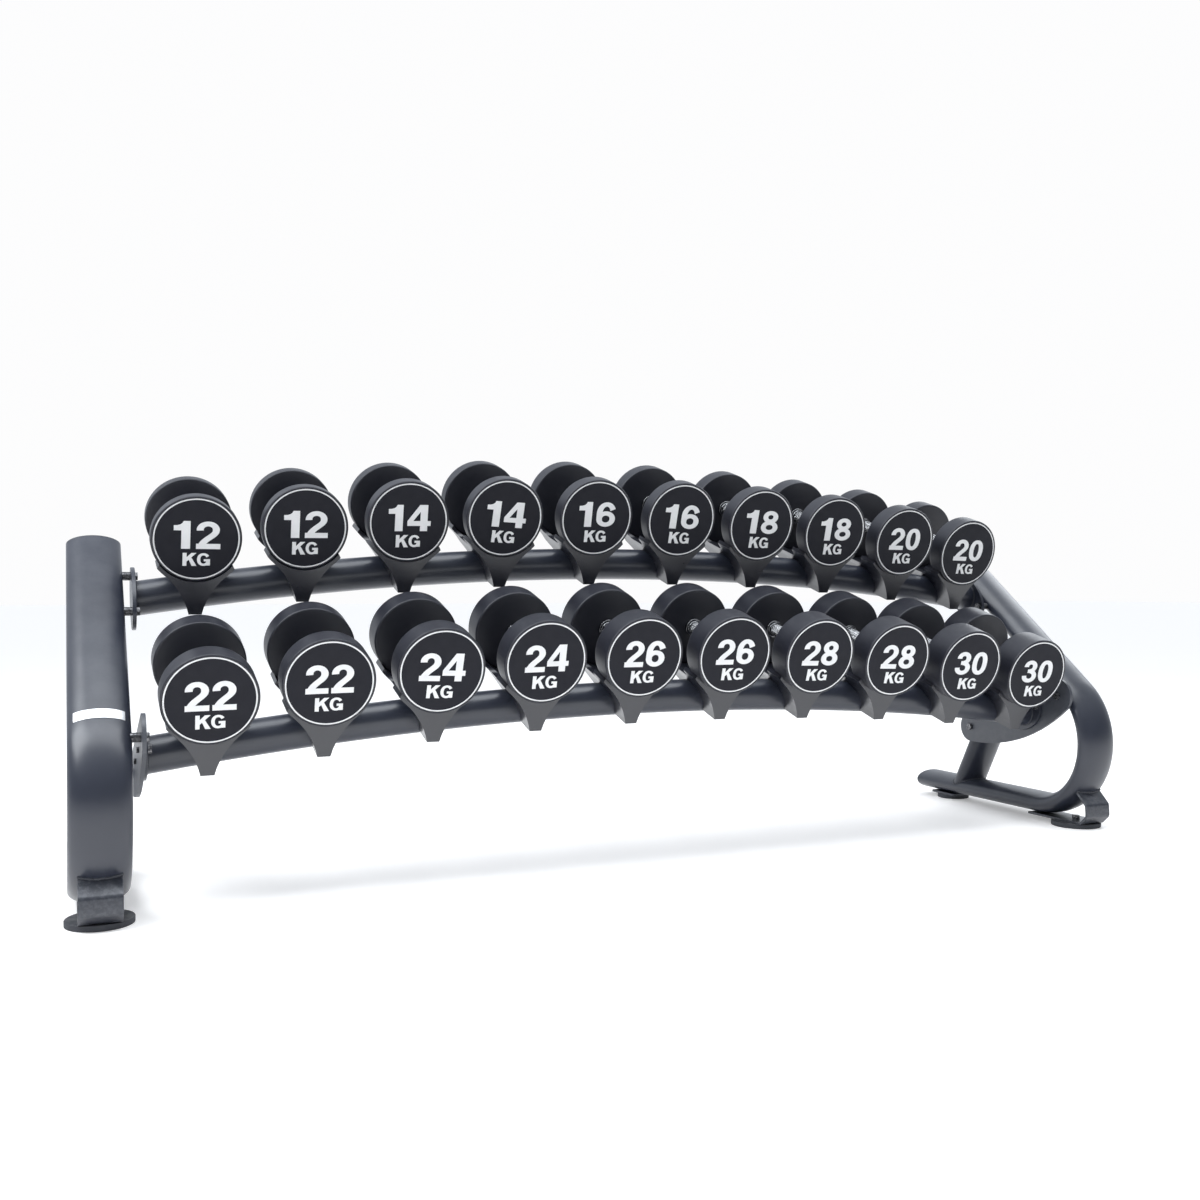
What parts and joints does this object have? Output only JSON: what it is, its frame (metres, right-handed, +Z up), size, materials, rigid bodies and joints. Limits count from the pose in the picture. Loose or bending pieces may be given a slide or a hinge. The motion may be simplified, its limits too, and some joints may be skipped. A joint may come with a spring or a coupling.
{
  "type": "dumbbell rack",
  "caption": "Two-tier arched dumbbell rack on two bent tube end frames, holding round-head dumbbells in moulded saddles that tip their faces to the user.",
  "frame": {"origin": "on the floor, at the centre of the rack's footprint box", "axes": "+X along the rack's length to the right, +Y from the user's side to the back, +Z up"},
  "size_m": [2.567, 0.7146, 0.9598],
  "materials": {
    "frame_paint": "satin charcoal powder coat",
    "plate_paint": "satin grey powder coat",
    "cap_plastic": "fine-grained",
    "fastener": "black oxide",
    "badge": "brushed, plain",
    "pad_rubber": "matt",
    "saddle_plastic": "fine-grained black",
    "head_rubber": "iron core bonded in smooth black rubber",
    "grip_chrome": "knurled grip"
  },
  "bodies": {
    "rack": {"left_end_frame": "frame_paint", "right_end_frame": "frame_paint", "struts": "frame_paint", "post_caps": "cap_plastic", "base_caps": "cap_plastic", "upper_rail": "frame_paint", "lower_rail": "frame_paint", "rail_flanges": "frame_paint", "gusset_plates": "plate_paint", "standoff_bushes": "fastener", "frame_bolts": "fastener", "flange_bolts": "fastener", "left_badge": "badge", "foot_straps": "frame_paint", "rear_foot_plates": "frame_paint", "foot_pads": "pad_rubber", "foot_bolts": "fastener", "upper_saddles": "saddle_plastic", "lower_saddles": "saddle_plastic", "saddle_screws": "fastener"},
    "dumbbell_12_a": {"dumbbell_12_a_heads": "head_rubber", "dumbbell_12_a_handle": "grip_chrome"},
    "dumbbell_12_b": {"dumbbell_12_b_heads": "head_rubber", "dumbbell_12_b_handle": "grip_chrome"},
    "dumbbell_14_a": {"dumbbell_14_a_heads": "head_rubber", "dumbbell_14_a_handle": "grip_chrome"},
    "dumbbell_14_b": {"dumbbell_14_b_heads": "head_rubber", "dumbbell_14_b_handle": "grip_chrome"},
    "dumbbell_16_a": {"dumbbell_16_a_heads": "head_rubber", "dumbbell_16_a_handle": "grip_chrome"},
    "dumbbell_16_b": {"dumbbell_16_b_heads": "head_rubber", "dumbbell_16_b_handle": "grip_chrome"},
    "dumbbell_18_a": {"dumbbell_18_a_heads": "head_rubber", "dumbbell_18_a_handle": "grip_chrome"},
    "dumbbell_18_b": {"dumbbell_18_b_heads": "head_rubber", "dumbbell_18_b_handle": "grip_chrome"},
    "dumbbell_20_a": {"dumbbell_20_a_heads": "head_rubber", "dumbbell_20_a_handle": "grip_chrome"},
    "dumbbell_20_b": {"dumbbell_20_b_heads": "head_rubber", "dumbbell_20_b_handle": "grip_chrome"},
    "dumbbell_22_a": {"dumbbell_22_a_heads": "head_rubber", "dumbbell_22_a_handle": "grip_chrome"},
    "dumbbell_22_b": {"dumbbell_22_b_heads": "head_rubber", "dumbbell_22_b_handle": "grip_chrome"},
    "dumbbell_24_a": {"dumbbell_24_a_heads": "head_rubber", "dumbbell_24_a_handle": "grip_chrome"},
    "dumbbell_24_b": {"dumbbell_24_b_heads": "head_rubber", "dumbbell_24_b_handle": "grip_chrome"},
    "dumbbell_26_a": {"dumbbell_26_a_heads": "head_rubber", "dumbbell_26_a_handle": "grip_chrome"},
    "dumbbell_26_b": {"dumbbell_26_b_heads": "head_rubber", "dumbbell_26_b_handle": "grip_chrome"},
    "dumbbell_28_a": {"dumbbell_28_a_heads": "head_rubber", "dumbbell_28_a_handle": "grip_chrome"},
    "dumbbell_28_b": {"dumbbell_28_b_heads": "head_rubber", "dumbbell_28_b_handle": "grip_chrome"},
    "dumbbell_30_a": {"dumbbell_30_a_heads": "head_rubber", "dumbbell_30_a_handle": "grip_chrome"},
    "dumbbell_30_b": {"dumbbell_30_b_heads": "head_rubber", "dumbbell_30_b_handle": "grip_chrome"}
  },
  "joints": [
    {"name": "dumbbell_12_a_lift", "type": "slide", "parent": "rack", "child": "dumbbell_12_a", "axis": [0, 0, 1], "range_m": [0, 0.3]},
    {"name": "dumbbell_12_b_lift", "type": "slide", "parent": "rack", "child": "dumbbell_12_b", "axis": [0, 0, 1], "range_m": [0, 0.3]},
    {"name": "dumbbell_14_a_lift", "type": "slide", "parent": "rack", "child": "dumbbell_14_a", "axis": [0, 0, 1], "range_m": [0, 0.3]},
    {"name": "dumbbell_14_b_lift", "type": "slide", "parent": "rack", "child": "dumbbell_14_b", "axis": [0, 0, 1], "range_m": [0, 0.3]},
    {"name": "dumbbell_16_a_lift", "type": "slide", "parent": "rack", "child": "dumbbell_16_a", "axis": [0, 0, 1], "range_m": [0, 0.3]},
    {"name": "dumbbell_16_b_lift", "type": "slide", "parent": "rack", "child": "dumbbell_16_b", "axis": [0, 0, 1], "range_m": [0, 0.3]},
    {"name": "dumbbell_18_a_lift", "type": "slide", "parent": "rack", "child": "dumbbell_18_a", "axis": [0, 0, 1], "range_m": [0, 0.3]},
    {"name": "dumbbell_18_b_lift", "type": "slide", "parent": "rack", "child": "dumbbell_18_b", "axis": [0, 0, 1], "range_m": [0, 0.3]},
    {"name": "dumbbell_20_a_lift", "type": "slide", "parent": "rack", "child": "dumbbell_20_a", "axis": [0, 0, 1], "range_m": [0, 0.3]},
    {"name": "dumbbell_20_b_lift", "type": "slide", "parent": "rack", "child": "dumbbell_20_b", "axis": [0, 0, 1], "range_m": [0, 0.3]},
    {"name": "dumbbell_22_a_lift", "type": "slide", "parent": "rack", "child": "dumbbell_22_a", "axis": [0, -0.7071, 0.7071], "range_m": [0, 0.3]},
    {"name": "dumbbell_22_b_lift", "type": "slide", "parent": "rack", "child": "dumbbell_22_b", "axis": [0, -0.7071, 0.7071], "range_m": [0, 0.3]},
    {"name": "dumbbell_24_a_lift", "type": "slide", "parent": "rack", "child": "dumbbell_24_a", "axis": [0, -0.7071, 0.7071], "range_m": [0, 0.3]},
    {"name": "dumbbell_24_b_lift", "type": "slide", "parent": "rack", "child": "dumbbell_24_b", "axis": [0, -0.7071, 0.7071], "range_m": [0, 0.3]},
    {"name": "dumbbell_26_a_lift", "type": "slide", "parent": "rack", "child": "dumbbell_26_a", "axis": [0, -0.7071, 0.7071], "range_m": [0, 0.3]},
    {"name": "dumbbell_26_b_lift", "type": "slide", "parent": "rack", "child": "dumbbell_26_b", "axis": [0, -0.7071, 0.7071], "range_m": [0, 0.3]},
    {"name": "dumbbell_28_a_lift", "type": "slide", "parent": "rack", "child": "dumbbell_28_a", "axis": [0, -0.7071, 0.7071], "range_m": [0, 0.3]},
    {"name": "dumbbell_28_b_lift", "type": "slide", "parent": "rack", "child": "dumbbell_28_b", "axis": [0, -0.7071, 0.7071], "range_m": [0, 0.3]},
    {"name": "dumbbell_30_a_lift", "type": "slide", "parent": "rack", "child": "dumbbell_30_a", "axis": [0, -0.7071, 0.7071], "range_m": [0, 0.3]},
    {"name": "dumbbell_30_b_lift", "type": "slide", "parent": "rack", "child": "dumbbell_30_b", "axis": [0, -0.7071, 0.7071], "range_m": [0, 0.3]}
  ]
}
